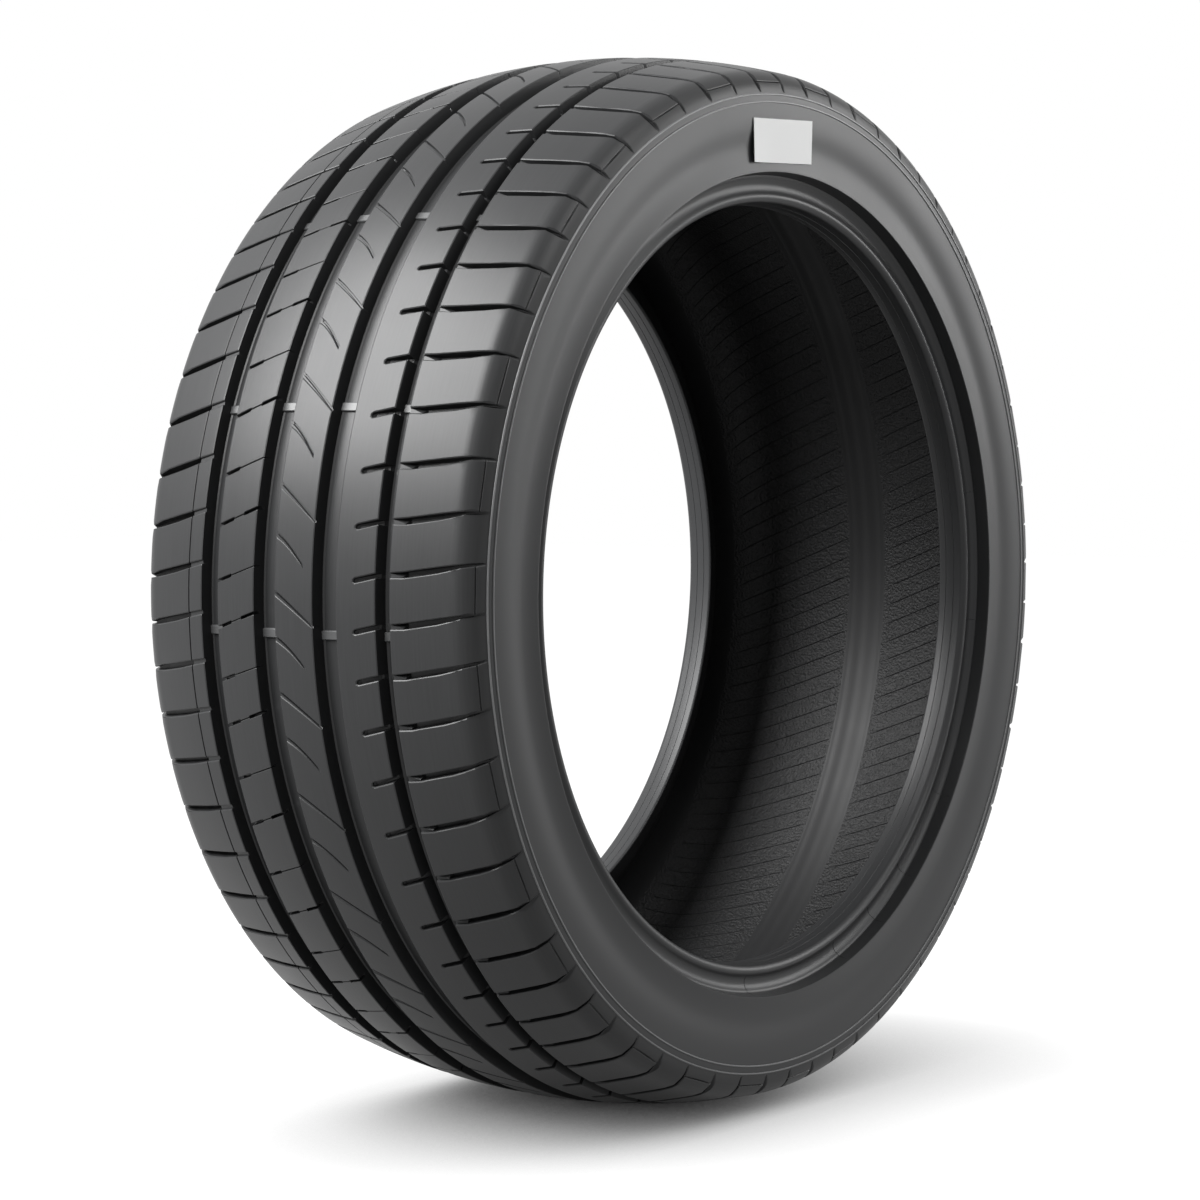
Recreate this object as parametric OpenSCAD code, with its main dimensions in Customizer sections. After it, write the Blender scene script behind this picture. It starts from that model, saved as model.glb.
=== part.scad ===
// Low section car tyre, size 235/40 R18, upright on its tread.
// The origin is the wheel centre and the spin axis is Y. The outer sidewall faces -Y.
// Points of the section are [radius, offset], where a positive offset is the outer side.

/* [Size] */
// Diameter of the rim's bead seats
rim_seat_d = 462; // [330:1:560]
// Height of the tyre above the rim's bead seats
section_h = 91.6; // [80:0.2:120]
// Width over the sidewalls
section_w = 241; // [200:1:290]
// Length of the small flat that the tyre rests on
rest_flat = 50; // [20:1:70]

/* [Crown] */
// How far each edge of the tread lies inside its sidewall
shoulder_in = 12.5; // [10:0.5:15]
// Radius of the crown across the tread
crown_r = 440; // [380:10:800]
// Thickness of the crown from tread to liner
crown_t = 14.5; // [13:0.5:18]

/* [Main grooves] */
// Middles of the four main grooves, as shares of half the tread's width, outer side last
groove_at = [-0.53, -0.125, 0.27, 0.619]; // [-0.7:0.005:0.7]
// Widths of the four main grooves at the tread
groove_w = [14, 16, 16, 9]; // [6:0.5:18]
// Depth of the main grooves
groove_depth = 8; // [6:0.5:9]
// How far each groove wall leans in, from the tread to the floor
groove_lean = 1.2; // [0.2:0.1:2]
// Width of the thin groove in the inner shoulder
thin_groove_w = 0.8; // [0.5:0.1:1.5]
// Depth of the thin groove
thin_groove_depth = 3.5; // [2.5:0.5:6]

/* [Wear bars] */
// Height of the wear bars above the groove floors
bar_h = 1.6; // [1:0.1:3]
// Length of a wear bar round the tyre
bar_len = 5; // [3:0.5:10]
// Number of groups of wear bars
bar_groups = 3; // [2:1:4]
// Number of wear bars in a group
bars_in_group = 3; // [1:1:4]
// Angle between the wear bars of a group
bar_step = 23; // [18:1:28]
// Angle of the first wear bar
first_bar = 137.4; // [130:0.1:150]

/* [Pitches] */
// Number of pitches round the tyre, an even number
pitches = 68; // [60:2:76]
// Angle of the first pitch
first_pitch = 155.6; // [150:0.1:160]
// How far a pitch is shifted to vary the pitch lengths, as an angle
pitch_swing = 0.49; // [0:0.01:0.6]
// How many times the pitch lengths swell round the tyre
swing_waves = 8; // [2:1:10]
// Where in its swell the first pitch is, as an angle
swing_phase = 130; // [0:5:355]

/* [Cross grooves] */
// Width of the shoulder grooves
shoulder_groove_w = 3.6; // [2.5:0.1:4.5]
// Depth of the shoulder grooves
shoulder_depth = 6.5; // [4:0.5:7]
// Depth of the step where a shoulder groove meets its main groove
step_depth = 2.4; // [1:0.2:3.5]
// Depth of the slots beside the outer main groove
slot_depth = 5.5; // [3:0.5:7]
// Thick width of the sipes in the inner rib
rib_sipe_w = 2; // [1:0.1:3]
// Width of a sipe where it is thin
thin_sipe_w = 0.6; // [0.4:0.1:0.9]
// Depth of the sipes in the inner rib
rib_sipe_depth = 4.5; // [2:0.5:6]
// Depth of the curved sipes in the centre rib
centre_sipe_depth = 2.5; // [1:0.5:5]
// Width of the fine grooves that link the ends of the outer shoulder grooves
link_w = 0.9; // [0.6:0.1:1.5]

/* [Sidewall] */
// Radius of the sidewall's bulge
bulge_r = 40; // [30:1:60]
// Height of the two fine rings at the edge of each sidewall
ring_h = 0.6; // [0.3:0.1:1]
// Width of each fine ring
ring_w = 1; // [0.8:0.1:2]
// Distance between the two fine rings
ring_gap = 4.6; // [3:0.1:6]
// Depth of the shallow dip below the bulge
dip = 2; // [0.5:0.1:3]
// How far the rim guard stands out again past the dip
guard_rise = 1.2; // [0.4:0.1:1.8]
// Height of the rim guard's edge above the bead seat
guard_h = 17; // [17:0.5:21]
// Height of the flange hollow above the bead seat
hollow_h = 9; // [9:0.5:10]
// How far the flange hollow lies inside the rim guard
hollow_depth = 11; // [9.5:0.5:13]
// Thickness of the sidewalls at the bulge
wall_t = 8.5; // [7:0.5:10]

/* [Bead and liner] */
// How far the rim squeezes each bead's toe, on the radius
toe_squeeze = 1.8; // [0.8:0.1:2.5]
// Taper of the bead seats
seat_taper = 5; // [3:0.5:7]
// How far each bead's heel lies inside its sidewall
heel_in = 9.5; // [8.5:0.5:11]
// Width of each bead from heel to toe
seat_w = 19; // [17:0.5:21]
// Radius of the bead heels
heel_r = 4; // [3:0.5:4.5]
// Offset of the smooth band that runs round the liner
liner_band_at = -12; // [-20:1:20]
// Half width of the band
liner_band = 14; // [10:1:20]
// Height of the low ridge in the middle of the band
liner_ridge_h = 1.2; // [0.6:0.1:2]

/* [Card label] */
// Width of the blank card on the outer sidewall
label_w = 64; // [40:1:70]
// Height of the card
label_h = 26; // [18:1:28]
// Thickness of the card
label_t = 0.4; // [0.3:0.1:1]
// Gap between the card and the sidewall
label_gap = 0.3; // [0.2:0.1:1]
// Angle of the card's middle round the tyre
label_at = 91.4; // [0:0.1:360]
// Tilt of the card against the sidewall's circle
label_tilt = 1.2; // [-8:0.1:8]

/* [Hidden] */
$fn = 240;

rim_seat_r = rim_seat_d / 2;
outer_r = rim_seat_r + section_h;
half_w = section_w / 2;
tread_edge = half_w - shoulder_in;
liner_r = outer_r - crown_t;
past = 6;
rest_drop = outer_r - sqrt(pow(outer_r, 2) - pow(rest_flat / 2, 2));

// Arc of a circle in the section, with its centre, radius, end angles and number of steps
function arc_points(centre, radius, from, to, steps) = [
    for (i = [0:steps]) let (a = from + (to - from) * i / steps)
        [centre[0] + radius * cos(a), centre[1] + radius * sin(a)]
];

// Smooth step from 0 to 1
function ease(t) = (1 - cos(180 * t)) / 2;

// Crown, shoulder round and bulge: three arcs that run into each other
crown_end = asin(tread_edge / crown_r);
shoulder_end = 75;
shoulder_r = (half_w - tread_edge - bulge_r * (1 - sin(shoulder_end))) / (sin(shoulder_end) - sin(crown_end));
shoulder_c = [
    outer_r - crown_r + (crown_r - shoulder_r) * cos(crown_end),
    (crown_r - shoulder_r) * sin(crown_end)
];
bulge_c = [shoulder_c[0] - (bulge_r - shoulder_r) * cos(shoulder_end), half_w - bulge_r];
shoulder_low = bulge_c[0] + bulge_r * cos(shoulder_end);

// Radius of the tread's surface at an offset from the middle of the tyre
function tread_r(v) =
    abs(v) <= tread_edge ? outer_r - crown_r + sqrt(pow(crown_r, 2) - pow(v, 2))
    : abs(v) <= shoulder_c[1] + shoulder_r * sin(shoulder_end)
        ? shoulder_c[0] + sqrt(pow(shoulder_r, 2) - pow(abs(v) - shoulder_c[1], 2))
    : bulge_c[0] + sqrt(max(0, pow(bulge_r, 2) - pow(abs(v) - bulge_c[1], 2)));

// Sidewall's surface at a radius, from the shoulder round to the rim guard's edge
guard_r = rim_seat_r + guard_h;
guard_out = half_w - dip + guard_rise;
dip_r = guard_r + (bulge_c[0] - guard_r) * 0.34;
bulge_hold = 1.6;
function wall_out(r) =
    r > shoulder_low ? shoulder_c[1] + sqrt(max(0, pow(shoulder_r, 2) - pow(r - shoulder_c[0], 2)))
    : r > bulge_c[0] ? bulge_c[1] + sqrt(pow(bulge_r, 2) - pow(r - bulge_c[0], 2))
    : r > dip_r ? half_w - dip * ease(pow((bulge_c[0] - r) / (bulge_c[0] - dip_r), bulge_hold))
    : guard_out - guard_rise * cos(90 * (dip_r - r) / (dip_r - guard_r));

crown_steps = 8;
shoulder_steps = 6;
bulge_steps = 3;
wall_steps = 10;
guard_chamfer = 0.7;
wall_foot = guard_r + guard_chamfer;
side_points = concat(
    arc_points([outer_r - crown_r, 0], crown_r, 0, crown_end, crown_steps),
    [for (i = [1:shoulder_steps]) let (a = crown_end + (shoulder_end - crown_end) * i / shoulder_steps)
        shoulder_c + shoulder_r * [cos(a), sin(a)]],
    [for (i = [1:bulge_steps]) let (a = shoulder_end + (90 - shoulder_end) * i / bulge_steps)
        bulge_c + bulge_r * [cos(a), sin(a)]],
    [for (i = [1:wall_steps]) let (r = bulge_c[0] + (wall_foot - bulge_c[0]) * i / wall_steps)
        [r, wall_out(r)]]
);

// Rim guard, its ledge and the flange hollow that the rim's flange lies in
hollow_r = 6.5;
hollow_c = [rim_seat_r + hollow_h, guard_out - hollow_depth + hollow_r];
ledge = 0.8;
hollow_from = -42;
hollow_to = -130;
ledge_r = hollow_c[0] + hollow_r * cos(hollow_from);
ledge_out = hollow_c[1] + hollow_r * sin(hollow_from);
flange_points = concat(
    [
        [guard_r, guard_out - guard_chamfer],
        [ledge_r + 2 * ledge, ledge_out + 2 * ledge],
        [ledge_r + 2 * ledge, ledge_out + ledge],
        [ledge_r + ledge, ledge_out + ledge]
    ],
    arc_points(hollow_c, hollow_r, hollow_from, hollow_to, 5)
);

// Heel, tapered seat and straight toe of the bead
toe_r = rim_seat_r - toe_squeeze;
toe_round = 1.6;
toe_land = 5;
heel_out = half_w - heel_in;
toe_out = heel_out - seat_w;
land_out = toe_out + toe_round + toe_land;
seat_r = toe_r + (heel_out - heel_r - land_out) * tan(seat_taper);
bead_points = concat(
    arc_points([seat_r + heel_r, heel_out - heel_r], heel_r, 80, 180, 5),
    [
        [toe_r, land_out],
        [toe_r, toe_out + toe_round],
        [toe_r + toe_round, toe_out]
    ]
);

// Liner from the toe to the crown's inner face
bulge_in = half_w - wall_t;
liner_low = toe_r + toe_round;
corner = [rim_seat_r + section_h * 0.41, bulge_in * 0.625];
wall_in_steps = 8;
corner_steps = 9;
liner_sag = 2.1;
liner_points = concat(
    [for (i = [1:wall_in_steps]) let (t = i / wall_in_steps)
        [liner_low + (corner[0] - liner_low) * t, toe_out + (bulge_in - toe_out) * ease(t)]],
    [for (i = [1:corner_steps]) let (a = 90 * i / corner_steps)
        [corner[0] + (liner_r - liner_sag - corner[0]) * sin(a), corner[1] + (bulge_in - corner[1]) * cos(a)]]
);

// Smooth band of the liner, a little proud, with a low ridge round its middle
function liner_at(v) = liner_r - liner_sag * pow(v / corner[1], 2);
band_step = 0.3;
band_form = [
    [1, 0], [0.94, band_step], [0.4, band_step], [0.12, liner_ridge_h],
    [-0.12, liner_ridge_h], [-0.4, band_step], [-0.94, band_step], [-1, 0]
];
band_points = [for (p = band_form) let (v = liner_band_at + liner_band * p[0]) [liner_at(v) - p[1], v]];

half_section = concat(side_points, flange_points, bead_points, liner_points);
other_half = [for (i = [len(half_section) - 1:-1:0]) [half_section[i][0], -half_section[i][1]]];

// Offsets of the main grooves' middles, and the ribs' edges beside them
groove_v = groove_at * tread_edge;
function low_edge(i) = groove_v[i] - groove_w[i] / 2;
function high_edge(i) = groove_v[i] + groove_w[i] / 2;

// Shape of a main groove in the section
module main_groove(i) {
    floor_r = tread_r(groove_v[i]) - groove_depth;
    spread = groove_lean * past / groove_depth;
    polygon([
        [floor_r, low_edge(i) + groove_lean],
        [floor_r, high_edge(i) - groove_lean],
        [floor_r + groove_depth + past, high_edge(i) + spread],
        [floor_r + groove_depth + past, low_edge(i) - spread]
    ]);
}

// Thin groove of the inner shoulder, at a share of the way from its main groove to the sidewall
groove_end = half_w - 0.8;
thin_groove_v = low_edge(0) - (groove_end + low_edge(0)) * 0.2;
module thin_groove() {
    translate([tread_r(thin_groove_v) - thin_groove_depth, thin_groove_v - thin_groove_w / 2])
        square([thin_groove_depth + past, thin_groove_w]);
}

// Fine ring in the section, at a radius, on the outer side (1) or the inner side (-1)
module fine_ring(r, side) {
    sunk = 1;
    translate([r, side * (wall_out(r) + (ring_h - sunk) / 2)])
        square([ring_w, ring_h + sunk], center = true);
}

module casing() {
    first_ring = shoulder_low - 4.2;
    rotate_extrude() {
        difference() {
            union() {
                polygon(concat(half_section, band_points, other_half));
                for (side = [-1, 1], step = [0, ring_gap]) fine_ring(first_ring - step, side);
            }
            for (i = [0:3]) main_groove(i);
            thin_groove();
        }
    }
}

// Four bars across the main grooves, at one place round the tyre
module wear_bars(at) {
    sunk = 0.8;
    turn = bar_len / outer_r * 180 / PI;
    rotate([0, 0, at - turn / 2]) rotate_extrude(angle = turn)
        for (i = [0:3])
            translate([tread_r(groove_v[i]) - groove_depth - sunk, low_edge(i)])
                square([bar_h + sunk, groove_w[i]]);
}

// Angle of a pitch, which runs ahead and behind to vary the pitch lengths
function pitch_at(i) = let (even = 360 * i / pitches)
    first_pitch + even - pitch_swing * sin(swing_waves * even + swing_phase);

// Outline of a cross groove from stations of [offset, shift round the tyre, width]
function groove_outline(stations) = concat(
    [for (s = stations) [-s[0], s[1] - s[2] / 2]],
    [for (i = [len(stations) - 1:-1:0]) [-stations[i][0], stations[i][1] + stations[i][2] / 2]]
);

// Cutter with that outline, as deep below the tread as depths of [offset, depth] say
module cross_groove(stations, depths) {
    span = 80;
    intersection() {
        rotate([0, 90, 0]) linear_extrude(outer_r + past) polygon(groove_outline(stations));
        rotate([90, 0, 0]) linear_extrude(span, center = true) polygon(concat(
            [for (d = depths) [tread_r(d[0]) - d[1], d[0]]],
            [[outer_r + past, depths[len(depths) - 1][0]], [outer_r + past, depths[0][0]]]
        ));
    }
}

// Slot and outer shoulder groove, which lie on one line across the outer main groove
function outer_at(share) = high_edge(3) + (groove_end - high_edge(3)) * share;
slot_from = high_edge(2) + (low_edge(3) - high_edge(2)) * 0.44;
tip_w = 0.8;
outer_stations = [
    [slot_from, 4.1, tip_w * 2], [slot_from + 1.5, 3.8, 3],
    [low_edge(3), 0.9, 3], [high_edge(3), 0.5, 3],
    [outer_at(0.17), 0, shoulder_groove_w], [outer_at(0.57), -3, shoulder_groove_w],
    [outer_at(0.84), -5.6, shoulder_groove_w * 0.55], [groove_end, -7.2, tip_w]
];
module outer_shoulder_groove() {
    cross_groove(outer_stations, [
        [slot_from - 1, slot_depth], [groove_v[3], slot_depth],
        [groove_v[3], step_depth], [outer_at(0.17), step_depth],
        [outer_at(0.175), shoulder_depth], [outer_at(0.59), shoulder_depth - 1],
        [outer_at(0.84), shoulder_depth / 2], [groove_end + 1, -1]
    ]);
}

function inner_at(share) = low_edge(0) - (groove_end + low_edge(0)) * share;
module inner_shoulder_groove() {
    cross_groove(
        [
            [-groove_end, 5.6, tip_w], [inner_at(0.88), 4.9, shoulder_groove_w * 0.55],
            [inner_at(0.7), 3.2, shoulder_groove_w], [inner_at(0.43), 0.6, shoulder_groove_w],
            [thin_groove_v, -2, 2.9], [low_edge(0) + 1, -4.4, 2.4]
        ],
        [
            [-groove_end - 1, -1], [inner_at(0.86), shoulder_depth / 2],
            [inner_at(0.68), shoulder_depth - 1], [thin_groove_v, shoulder_depth],
            [thin_groove_v + 0.2, step_depth], [low_edge(0) + 1, step_depth]
        ]
    );
}

// Sipe of the inner rib, which is thick at one end or at both
rib_from = high_edge(0) - 1;
rib_to = low_edge(1) + 1;
module rib_sipe(both_thick) {
    shift = both_thick ? [5, -5.6] : [7, -3];
    knee = 0.01;
    spots = [[0, rib_sipe_w], [0.39, rib_sipe_w], [0.39 + knee, thin_sipe_w], [0.64, thin_sipe_w],
        [0.64 + knee, both_thick ? rib_sipe_w : thin_sipe_w], [1, both_thick ? rib_sipe_w : thin_sipe_w]];
    cross_groove(
        [for (s = spots) [rib_from + (rib_to - rib_from) * s[0], shift[0] + (shift[1] - shift[0]) * s[0], s[1]]],
        [[rib_from, rib_sipe_depth], [rib_to, rib_sipe_depth]]
    );
}

// Curved sipe of the centre rib, which crosses the rib or ends inside it
centre_from = high_edge(1) - 1;
centre_to = low_edge(2) + 1;
module centre_sipe(long) {
    stop = long ? centre_to : centre_from + (centre_to - centre_from) * 0.73;
    start = long ? 11.4 : 8.6;
    rise = long ? 21 : 18;
    bend = long ? 0.12 : 0.45;
    steps = 4;
    cross_groove(
        [for (i = [0:steps]) let (t = i / steps)
            [centre_from + (stop - centre_from) * t, start + rise * t * (1 - bend + bend * t), 2.6 - 2 * t]],
        [[centre_from, centre_sipe_depth], [stop, long ? centre_sipe_depth : 0.8]]
    );
}

// Fine groove round the shoulder from the end of one outer shoulder groove to the next
link_angle = 61;
link_depth = 0.8;
module link(from, to) {
    place = shoulder_c + shoulder_r * [cos(link_angle), sin(link_angle)];
    shift = lookup(place[1], [for (s = outer_stations) [s[0], s[1]]]);
    rotate([0, 0, from + atan(shift / place[0])]) rotate_extrude(angle = to - from)
        translate(place) square([link_w, 2 * link_depth], center = true);
}

module pattern() {
    for (i = [0:pitches - 1]) {
        rotate([0, 0, pitch_at(i)]) {
            outer_shoulder_groove();
            inner_shoulder_groove();
            rib_sipe(i % 2 == 1);
            centre_sipe(i % 2 == 0);
        }
        if (i % 2 == 0) link(pitch_at(i), pitch_at(i + 1));
    }
}

module tyre() {
    big = 2 * outer_r + section_w;
    color("#2b2c2d") difference() {
        rotate([90, 0, 0]) difference() {
            union() {
                casing();
                for (g = [0:bar_groups - 1], i = [0:bars_in_group - 1])
                    wear_bars(first_bar + 360 * g / bar_groups + bar_step * i);
            }
            pattern();
        }
        translate([-big / 2, -big / 2, rest_drop - outer_r - big]) cube([big, big, big]);
    }
}

// Blank card, flat against the highest line of the sidewall that it covers
module blank_label() {
    label_r = (wall_foot + shoulder_low) / 2 - 7;
    low = label_r - label_h / 2;
    lean = atan((wall_out(low + label_h) - wall_out(low)) / label_h);
    proud = max([for (h = [0:2:label_h + 4]) wall_out(low + h) - wall_out(low) - h * tan(lean)]);
    stand = wall_out(low) + label_h / 2 * tan(lean) + proud + label_gap + label_t / 2;
    color("#f2f2f0") rotate([0, -label_at, 0]) translate([label_r, -stand, 0])
        rotate([0, -label_tilt, -lean]) cube([label_h, label_t, label_w], center = true);
}

tyre();
blank_label();
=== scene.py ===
"""Looks of a low section car tyre that stands on its tread.

The tread is one flat sheet of two pitches, cut along the edges of its grooves, then bent round the
tyre and repeated. The sidewalls and the liner are revolved sections. Sizes are in millimetres until
make_mesh() turns them into metres, and angles given as numbers are in degrees. An offset is a
distance from the middle plane, positive towards the outer sidewall. The lamps, the camera and the
reach of the shadow are in metres.
"""
import math

import bpy
import numpy as np
from mathutils import Matrix, Vector
from mathutils.geometry import delaunay_2d_cdt


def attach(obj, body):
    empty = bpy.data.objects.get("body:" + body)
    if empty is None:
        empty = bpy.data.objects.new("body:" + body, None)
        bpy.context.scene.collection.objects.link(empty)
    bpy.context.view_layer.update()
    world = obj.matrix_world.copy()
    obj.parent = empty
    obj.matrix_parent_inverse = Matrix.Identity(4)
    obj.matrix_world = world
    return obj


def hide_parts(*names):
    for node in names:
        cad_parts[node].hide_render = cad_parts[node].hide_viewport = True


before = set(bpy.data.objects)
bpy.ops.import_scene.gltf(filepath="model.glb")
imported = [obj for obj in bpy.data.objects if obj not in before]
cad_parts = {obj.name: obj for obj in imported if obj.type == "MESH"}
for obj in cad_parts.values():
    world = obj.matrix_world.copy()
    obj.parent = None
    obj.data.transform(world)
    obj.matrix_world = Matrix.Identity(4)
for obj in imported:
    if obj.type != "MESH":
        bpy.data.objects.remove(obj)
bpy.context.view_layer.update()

MM = 0.001

# Section of the tyre
RIM_SEAT_R = 231
SECTION_H = 91.6
SECTION_W = 241
REST_FLAT = 50
SHOULDER_IN = 12.5
SHOULDER_TURN = 75
CROWN_R = 440
CROWN_T = 14.5
WALL_T = 8.5

# Main grooves, and the thin groove of the inner shoulder
GROOVE_SHARES = (-0.53, -0.125, 0.27, 0.619)
GROOVE_W = (14, 16, 16, 9)
GROOVE_DEPTH = 8
GROOVE_LEAN = 1.2
GROOVE_WALL = 0.25
GROOVE_EDGE = 0.6
THIN_SHARE = 0.2
THIN_W = 0.8
THIN_DEPTH = 3.5
THIN_LEAN = 0.1
THIN_EDGE = 0.25
FLOOR_ROUND = 1.0
RING_RIM = 0.55

# Pitches round the tyre
PITCHES = 68
FIRST_PITCH = 155.6
PITCH_SWING = 0.49
SWING_WAVES = 8
SWING_PHASE = 130
PITCHES_BESIDE = 4

# Sidewall, with its two fine rings
BULGE_R = 40
RING_H = 0.6
RING_W = 1.0
RING_GAP = 4.6
RING_DROP = 4.2
RING_CLEAR = 0.8
DIP = 2
DIP_SHARE = 0.34
BULGE_HOLD = 1.6
GUARD_RISE = 1.2
GUARD_H = 17

OUTER_R = RIM_SEAT_R + SECTION_H
HALF_W = SECTION_W / 2
TREAD_EDGE = HALF_W - SHOULDER_IN
GROOVE_AT = [share * TREAD_EDGE for share in GROOVE_SHARES]
CROWN_END = math.asin(TREAD_EDGE / CROWN_R)
SHOULDER_END = math.radians(SHOULDER_TURN)
SHOULDER_R = ((HALF_W - TREAD_EDGE - BULGE_R * (1 - math.sin(SHOULDER_END)))
              / (math.sin(SHOULDER_END) - math.sin(CROWN_END)))
SHOULDER_C = (OUTER_R - CROWN_R + (CROWN_R - SHOULDER_R) * math.cos(CROWN_END),
              (CROWN_R - SHOULDER_R) * math.sin(CROWN_END))
BULGE_C = (SHOULDER_C[0] - (BULGE_R - SHOULDER_R) * math.cos(SHOULDER_END), HALF_W - BULGE_R)
SHOULDER_LOW = BULGE_C[0] + BULGE_R * math.cos(SHOULDER_END)
RING_AT = (SHOULDER_LOW - RING_DROP, SHOULDER_LOW - RING_DROP - RING_GAP)
CROWN_ARC = CROWN_R * CROWN_END
SHOULDER_ARC = CROWN_ARC + SHOULDER_R * (SHOULDER_END - CROWN_END)
END_TURN = math.acos((RING_AT[0] + RING_CLEAR - BULGE_C[0]) / BULGE_R)
END_ARC = SHOULDER_ARC + BULGE_R * (END_TURN - SHOULDER_END)
REST_Z = -math.sqrt(OUTER_R ** 2 - (REST_FLAT / 2) ** 2)
DEGREE = OUTER_R * math.pi / 180
PITCH = 360 / PITCHES * DEGREE
SECTOR = 2 * PITCH
COLUMNS = 12
SHEET_FROM = -0.31
SHEET_TO = 0.69
LOW = SHEET_FROM * SECTOR
HIGH = SHEET_TO * SECTOR


# Surface of the tread
def arc_of(v):
    """Distance along the section from the middle of the tread to the offset v."""
    w = abs(v)
    if w <= TREAD_EDGE:
        arc = CROWN_R * math.asin(w / CROWN_R)
    elif w <= SHOULDER_C[1] + SHOULDER_R * math.sin(SHOULDER_END):
        arc = CROWN_ARC + SHOULDER_R * (math.asin((w - SHOULDER_C[1]) / SHOULDER_R) - CROWN_END)
    else:
        arc = SHOULDER_ARC + BULGE_R * (math.asin((w - BULGE_C[1]) / BULGE_R) - SHOULDER_END)
    return math.copysign(arc, v)


def skin(arc):
    """Radius, offset and the angle of the normal, for arrays of distances along the section."""
    far = np.abs(arc)
    zones = [far <= CROWN_ARC, far <= SHOULDER_ARC]
    lean = np.select(zones, [far / CROWN_R, CROWN_END + (far - CROWN_ARC) / SHOULDER_R],
                     SHOULDER_END + (far - SHOULDER_ARC) / BULGE_R)
    radius = np.select(zones, [CROWN_R, SHOULDER_R], BULGE_R)
    centre_r = np.select(zones, [OUTER_R - CROWN_R, SHOULDER_C[0]], BULGE_C[0])
    centre_v = np.select(zones, [0, SHOULDER_C[1]], BULGE_C[1])
    side = np.sign(arc)
    return centre_r + radius * np.cos(lean), side * (centre_v + radius * np.sin(lean)), side * lean


def tread_r(v):
    return float(skin(np.array([arc_of(v)]))[0][0])


# Grooves of the tread
STEEPEST = 3
LEAST_HALF = 0.02
FOOT_SHARE = 0.8
FOOT_LEAST = 0.01
SLIT_REACH = 1.9
RIM_SHARE = 0.7


class Groove:
    """A groove whose middle and width change along the section, with a depth for each place.

    stations are [offset, shift round the tyre, width]; depths are [offset, depth]. The wall leans
    over wall millimetres, and the edge is rounded over edge millimetres. Past a slit of so many
    millimetres at its first side, the groove is only as deep as its shelf.
    """

    def __init__(self, stations, depths, wall=GROOVE_WALL, edge=GROOVE_EDGE, slit=None, shelf=0.0):
        self.arc = np.array([arc_of(s[0]) for s in stations])
        self.mid = np.array([math.degrees(math.atan2(s[1], tread_r(s[0]))) * DEGREE for s in stations])
        self.half = np.array([s[2] / 2 for s in stations])
        slope = np.gradient(self.mid, self.arc) if len(stations) > 2 else np.zeros(len(stations))
        self.skew = np.sqrt(1 + np.clip(slope, -STEEPEST, STEEPEST) ** 2)
        self.depth_arc = np.array([arc_of(d[0]) for d in depths])
        self.depth = np.array([d[1] for d in depths], dtype=float)
        self.wall = wall
        self.edge = edge
        self.slit = slit
        self.shelf = shelf

    def outline(self, grow):
        """Closed outline, grown by so many millimetres on every side."""
        arc = self.arc.copy()
        arc[0] -= grow
        arc[-1] += grow
        half = np.maximum(self.half + grow * self.skew, LEAST_HALF)
        left = list(zip(self.mid - half, arc))
        right = list(zip(self.mid + half, arc))
        return left + right[::-1]

    def lines(self):
        """Chains of points that the sheet is cut along."""
        rings = [self.outline(self.edge), self.outline(0)]
        if self.half.max() > self.wall:
            rings.append(self.outline(-min(self.wall, FOOT_SHARE * self.half.min() + FOOT_LEAST)))
        chains = [ring + ring[:1] for ring in rings]
        if self.slit:
            for inset in (self.slit, self.slit + self.wall):
                across = np.minimum(inset * self.skew, SLIT_REACH * self.half)
                chains.append(list(zip(self.mid - self.half + across, self.arc)))
        return chains

    def depth_at(self, x, arc):
        """Depth below the tread at points of the sheet."""
        mid = np.interp(arc, self.arc, self.mid)
        half = np.interp(arc, self.arc, self.half)
        skew = np.interp(arc, self.arc, self.skew)
        first = (x - mid + half) / skew
        inside = np.minimum(np.minimum(first, (half - x + mid) / skew),
                            np.minimum(arc - self.arc[0], self.arc[-1] - arc))
        full = np.interp(arc, self.depth_arc, self.depth)
        if self.slit:
            past = np.clip((first - self.slit) / self.wall, 0, 1)
            full = full + (np.minimum(self.shelf, full) - full) * past
        level = full * np.clip(inside / self.wall, 0, 1)
        rim = RIM_SHARE * self.edge * np.clip(1 + inside / self.edge, 0, 1)
        return np.maximum(np.minimum(rim, np.maximum(full, 0)), level)


# Outer and inner shoulder grooves. A path lists the share of the way across the shoulder, the shift
# round the tyre and the share of the full width. Depths list the share of the way and the depth.
SHOULDER_GROOVE_W = 3.6
SHOULDER_DEPTH = 6.5
STEP_DEPTH = 1.4
STEP_RAMP = 0.4
TIP_IN = 0.8
TIP_W = 0.8
TIP_DEPTH = 0.3
OUTER_PATH = ((0.17, 0, 1), (0.57, -3, 1), (0.71, -4.3, 0.82), (0.84, -5.6, 0.55))
OUTER_DEPTHS = ((0.16, STEP_DEPTH), (0.175, SHOULDER_DEPTH), (0.59, SHOULDER_DEPTH - 1),
                (0.84, SHOULDER_DEPTH / 2))
OUTER_TIP_SHIFT = -7.2
INNER_PATH = ((0.88, 4.9, 0.55), (0.7, 3.2, 1), (0.43, 0.6, 1))
INNER_DEPTHS = ((0.86, SHOULDER_DEPTH / 2), (0.68, SHOULDER_DEPTH - 1))
INNER_TIP_SHIFT = 5.6
INNER_THIN_SHIFT = -2
INNER_THIN_W = 2.9
INNER_THIN_RAMP = 0.1
INNER_LAST_SHIFT = -4.4
INNER_LAST_W = 2.4

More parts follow.
